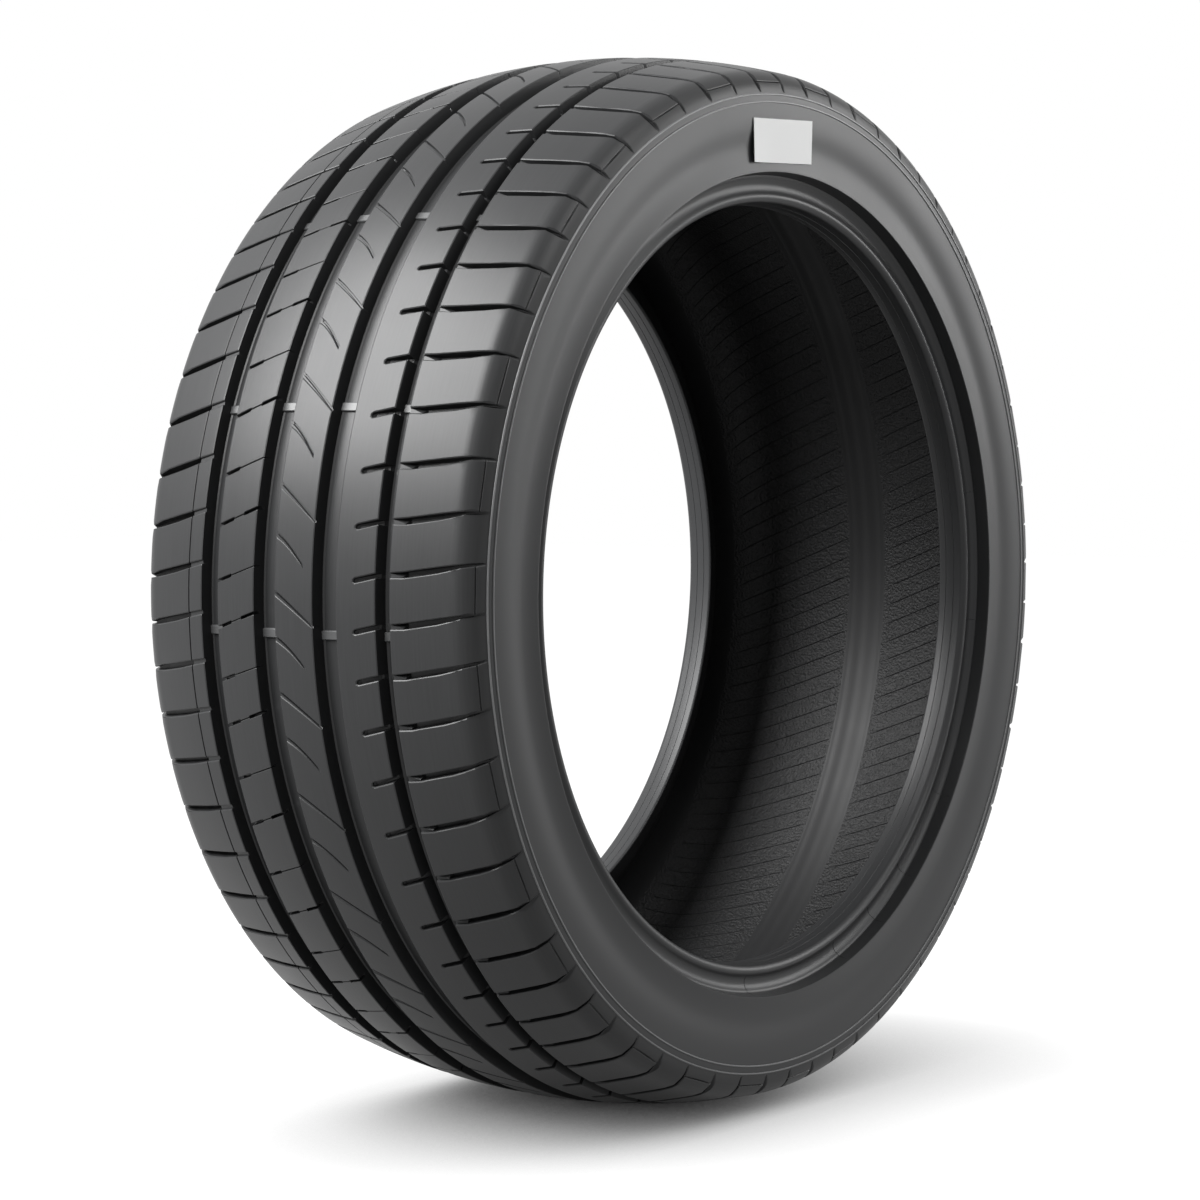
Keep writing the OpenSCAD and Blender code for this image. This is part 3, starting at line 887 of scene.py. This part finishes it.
def tread_rubber():
    """Moulded rubber with faint streaks round the tyre."""
    material, nodes = painted("tread_rubber")
    lines = streaks(nodes, across=900.0, along=9.0)
    cloudy = nodes.noise(nodes.place(), scale=14.0)
    nodes.set("Base Color", nodes.tinted(TREAD_BLACK, lines, low=0.88, high=1.12))
    nodes.set("Roughness", nodes.spread(cloudy, *SATIN))
    nodes.set("Specular IOR Level", RUBBER_GLOSS)
    grain = nodes.bump(nodes.noise(nodes.place(), scale=1800.0), strength=0.12, distance=0.00015)
    nodes.set("Normal", nodes.bump(lines, strength=0.16, distance=0.0002, normal=grain))
    return material


# Smoother sidewalls, wear bars and ring crests painted lighter as a highlight, the liner's parts painted
# darker as shade, and the fibres of the card
wall_rubber = mottled("wall_rubber", RUBBER, scale=9.0, detail=5.0, tint=(0.94, 1.06), rough=SATIN,
                      gloss=RUBBER_GLOSS, relief=(0.1, 0.00015), fine=1500.0)
bar_painted_highlight = mottled("bar_painted_highlight", BAR_HIGHLIGHT_GREY, scale=30.0, detail=4.0, tint=(0.85, 1.15), rough=(0.4, 0.5))
crest_painted_highlight = mottled("crest_painted_highlight", CREST_HIGHLIGHT_GREY, scale=40.0, detail=4.0, tint=(0.8, 1.2), rough=(0.3, 0.4))
# The liner lines are a deeper black, painted shade.
liner_line_painted_shade = mottled("liner_line_painted_shade", LINE_SHADE_BLACK, scale=60.0, detail=3.0, tint=(0.8, 1.2), rough=(0.5, 0.6),
                     gloss=0.15)
liner_smooth_painted_shade = mottled("liner_smooth_painted_shade", BAND_SHADE_BLACK, scale=25.0, detail=4.0, tint=(0.9, 1.1), rough=(0.42, 0.5),
                       gloss=0.14, relief=(0.15, 0.0002), fine=1200.0)
liner_grain_painted_shade = mottled("liner_grain_painted_shade", GRAIN_SHADE_BLACK, scale=620.0, detail=2.0, tint=(0.5, 1.5),
                      rough=(0.42, 0.55), gloss=0.16, relief=(1.0, 0.0009))
card_paper = mottled("card_paper", CARD_WHITE, scale=1400.0, detail=4.0, tint=(0.97, 1.0), rough=(0.6, 0.72),
                     relief=(0.15, 0.0001))

# Tread, wear bars and sidewalls
RING_ZONE = 3
CREST_HIGHLIGHT_HALF = 0.56
tread_points, tread_faces, tread_normals = tread_mesh()
tread = make_mesh("tread", tread_points, tread_faces, [tread_rubber()], normals=tread_normals)
bars = make_mesh("wear_bars", *wear_bars(), [bar_painted_highlight], sharp=30)

around = stations()
wall_section = outer_wall()
outer_points, outer_faces = revolve(wall_section, around)
inner_points, inner_faces = revolve([(r, -v) for r, v in wall_section[::-1]], around)
wall_steps = np.array(wall_section)
step_r, step_out = ((wall_steps[1:] + wall_steps[:-1]) / 2).T
# Faces on the crests of the fine rings get the light grey of the painted highlight.
highlight_crests = np.zeros(len(step_r), dtype=bool)
for at in RING_AT:
    highlight_crests |= (np.abs(step_r - at) < CREST_HIGHLIGHT_HALF * RING_W) & (step_out > HALF_W - RING_ZONE)
highlight_slots = np.concatenate([np.tile(highlight_crests, len(around)), np.tile(highlight_crests[::-1], len(around))])
sidewalls = make_mesh("sidewalls", np.concatenate([outer_points, inner_points]),
                      np.concatenate([outer_faces, inner_faces + len(outer_points)]),
                      [wall_rubber, crest_painted_highlight], slots=highlight_slots, sharp=38)

# Liner, whose grain starts above its walls and leaves the band smooth
GRAIN_FROM = 284
liner_section = np.array(liner())
liner_points, liner_faces = revolve(liner_section, around)
middle_r, middle_v = ((liner_section[1:] + liner_section[:-1]) / 2).T
grainy = (middle_r > GRAIN_FROM) & (np.abs(middle_v - BAND_AT) > BAND_HALF)
liner_piece = make_mesh("liner", liner_points, liner_faces, [liner_smooth_painted_shade, liner_grain_painted_shade],
                        slots=np.tile(grainy, len(around)), sharp=38)

# Fine ridges of the liner, on both sides of its band
LINES = 148
LINE_SLOPE = 0.4
LINE_W = 0.45
LINE_H = 0.45
LINE_CLEAR = 0.5
LINE_STEPS = 9
OUTER_LINE_AT = 2.0
INNER_LINE_AT = 1.2
rounds = [(r, v) for r, v in liner_side() if r > GRAIN_FROM]
outer_flat = np.linspace(CORNER[1] - LINER_IN, BAND_AT + BAND_HALF + LINE_CLEAR, LINE_STEPS)
inner_flat = np.linspace(BAND_AT - BAND_HALF - LINE_CLEAR, LINER_IN - CORNER[1], LINE_STEPS)
outer_path = rounds + [(liner_at(v), v) for v in outer_flat]
inner_path = [(liner_at(v), v) for v in inner_flat] + [(r, -v) for r, v in rounds[::-1]]
outer_length = np.hypot(*np.diff(np.array(outer_path), axis=0).T).sum()
turn_back = math.degrees(outer_length * LINE_SLOPE / LINER_R)
steps_round = np.arange(LINES) * 360 / LINES
outer_starts = OUTER_LINE_AT + turn_back + steps_round
inner_starts = INNER_LINE_AT + steps_round
line_points, line_faces = fine_ridges(outer_path, outer_starts, -LINE_SLOPE, LINE_W, LINE_H)
more_points, more_faces = fine_ridges(inner_path, inner_starts, -LINE_SLOPE, LINE_W, LINE_H)
more_faces = np.array(more_faces) + len(line_points)
liner_lines = make_mesh("liner_lines", line_points + more_points, np.concatenate([line_faces, more_faces]),
                        [liner_line_painted_shade], sharp=20)

# Marks of the mould in the flange hollow
MARKS = (12.7, -7.3, -36.0, -51.3, -61.9, -72.7, -97.0)
MARK_W = 0.35
MARK_H = 0.25
MARK_FROM = 3
mark_points, mark_faces = fine_ridges(hollow_side()[MARK_FROM:], MARKS, 0, MARK_W, MARK_H)
marks = make_mesh("mould_marks", mark_points, mark_faces, [wall_rubber], sharp=20)

for piece in (tread, bars, sidewalls, liner_piece, liner_lines, marks):
    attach(piece, "root")
    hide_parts("tyre")
    print(piece.name, "triangles", sum(len(face.vertices) - 2 for face in piece.data.polygons))

# Card
LABEL_W = 64
LABEL_H = 26
LABEL_T = 0.4
LABEL_GAP = 0.3
LABEL_AT = 91.4
LABEL_TILT = 1.2
LABEL_DOWN = 7
GUARD_ROUND = 0.7
PROBE = 2
CARD_LIFT = 1.2
LIFT_FROM = 0.2


def card_turn():
    """Place of the card's middle, parallel to the sidewall and clear of it."""
    middle_at = (GUARD_R + GUARD_ROUND + SHOULDER_LOW) / 2 - LABEL_DOWN
    low = middle_at - LABEL_H / 2
    lean = math.atan((wall_out(low + LABEL_H) - wall_out(low)) / LABEL_H)
    proud = max(wall_out(low + h) - wall_out(low) - h * math.tan(lean)
                for h in range(0, LABEL_H + 2 * PROBE + 1, PROBE))
    stand = wall_out(low) + LABEL_H / 2 * math.tan(lean) + proud + LABEL_GAP + LABEL_T / 2
    return (Matrix.Rotation(math.radians(-LABEL_AT), 4, "Y") @ Matrix.Translation((middle_at, -stand, 0))
            @ Matrix.Rotation(-lean, 4, "Z") @ Matrix.Rotation(math.radians(-LABEL_TILT), 4, "Y"))


def card_mesh():
    """Points and faces of the card, a thin sheet whose one end lifts a little."""
    columns, rows = 24, 8
    turn = card_turn()
    points, faces = [], []
    for face in (-1, 1):
        for i in range(columns + 1):
            along = 2 * i / columns - 1
            for j in range(rows + 1):
                lift = CARD_LIFT * max(0, (along - LIFT_FROM) / (1 - LIFT_FROM)) ** 2 * (1 - j / rows)
                place = Vector((LABEL_H * (j / rows - 0.5), face * LABEL_T / 2 - lift, LABEL_W * along / 2))
                points.append(tuple(turn @ place))
    n = rows + 1
    back = (columns + 1) * n
    for i in range(columns):
        for j in range(rows):
            p = i * n + j
            faces.append((p, p + 1, p + n + 1, p + n))
            faces.append((back + p, back + p + n, back + p + n + 1, back + p + 1))
    rim = ([i * n for i in range(columns + 1)] + [columns * n + j for j in range(1, n)]
           + [i * n + rows for i in range(columns - 1, -1, -1)] + [j for j in range(rows - 1, 0, -1)])
    for p, q in zip(rim, rim[1:] + rim[:1]):
        faces.append((p, q, back + q, back + p))
    return points, faces


card = make_mesh("card", *card_mesh(), [card_paper], sharp=40)
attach(card, "root")
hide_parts("blank_label")


# Floor
SHADOW_REACH = 0.17
SHADOW_POWER = 0.85
SHADOW_SAMPLES = 12
FLOOR_GLOW = 1.0
FLOOR_SHADE = 0.12
FLOOR_HALF = 9000
WHITE = (1, 1, 1, 1)


def seen_directly(nodes):
    """1 for rays from the camera, from gloss or through glass, and 0 for the others."""
    path = nodes.add("ShaderNodeLightPath").outputs
    first = nodes.math("MAXIMUM", path["Is Camera Ray"], path["Is Glossy Ray"])
    return nodes.math("MAXIMUM", first, path["Is Transmission Ray"])


def floor_paint():
    """White floor that darkens softly where the tyre stands close above it."""
    material, nodes = painted("floor_paint")
    nodes.set("Roughness", 0.9)
    nodes.set("Specular IOR Level", 0.0)
    inputs = {"Distance": SHADOW_REACH}
    free = nodes.add("ShaderNodeAmbientOcclusion", inputs, samples=SHADOW_SAMPLES).outputs["AO"]
    white = nodes.math("MULTIPLY", nodes.math("POWER", free, SHADOW_POWER), FLOOR_GLOW)
    nodes.set("Base Color", (FLOOR_SHADE, FLOOR_SHADE, FLOOR_SHADE, 1))
    nodes.set("Emission Color", WHITE)
    nodes.set("Emission Strength", nodes.math("MULTIPLY", white, seen_directly(nodes)))
    return material


floor_corners = [(x * FLOOR_HALF, y * FLOOR_HALF, 0) for x, y in ((-1, -1), (1, -1), (1, 1), (-1, 1))]
floor = make_mesh("floor", floor_corners, [(0, 1, 2, 3)], [floor_paint()])
floor.location = (0, 0, REST_Z * MM)

# White surroundings, which light the tyre less than they show
AMBIENT = 0.2
world = bpy.data.worlds.new("studio")
scene = bpy.context.scene
scene.world = world
world.use_nodes = True
sky = Nodes(world.node_tree)
backdrop = world.node_tree.nodes["Background"].inputs
sky.join(WHITE, backdrop["Color"])
sky.join(sky.spread(seen_directly(sky), AMBIENT, 1.0, from_low=0.0, from_high=1.0), backdrop["Strength"])
scene.view_settings.view_transform = "Standard"


def area_light(name, direction, distance, size, power):
    """Softbox that faces the middle of the tyre from a direction."""
    data = bpy.data.lights.new(name, "AREA")
    data.shape = "RECTANGLE"
    data.size, data.size_y = size
    data.energy = power
    light = bpy.data.objects.new(name, data)
    light.location = Vector(direction).normalized() * distance
    light.rotation_euler = (-light.location).to_track_quat("-Z", "Y").to_euler()
    scene.collection.objects.link(light)


area_light("key", direction=(-1.5, 0.75, 1.4), distance=2.3, size=(2.0, 1.6), power=225)
area_light("side", direction=(1.3, -0.85, 0.45), distance=2.4, size=(0.8, 1.1), power=23)
area_light("front", direction=(0.25, -1.0, 0.9), distance=2.3, size=(1.2, 1.2), power=19)

# Camera, from the photograph's framing of 1200 pixels
CAMERA_AZ = -53.9
CAMERA_EL = 2.7
CAMERA_FAR = 2.0564
CAMERA_RIGHT = -0.0162
CAMERA_UP = -0.0121
PHOTO_WIDTH = 1200
FOCAL_PIXELS = 3287.4
SENSOR = 36

az = math.radians(CAMERA_AZ)
el = math.radians(CAMERA_EL)
back = Vector((math.sin(az) * math.cos(el), -math.cos(az) * math.cos(el), math.sin(el)))
right = Vector((math.cos(az), math.sin(az), 0))
up = back.cross(right)
camera = bpy.data.objects.new("camera", bpy.data.cameras.new("camera"))
scene.collection.objects.link(camera)
view = Matrix((right, up, back)).transposed().to_4x4()
view.translation = back * CAMERA_FAR + right * CAMERA_RIGHT + up * CAMERA_UP
camera.matrix_world = view
camera.data.sensor_width = SENSOR
camera.data.lens = FOCAL_PIXELS / PHOTO_WIDTH * SENSOR
scene.camera = camera
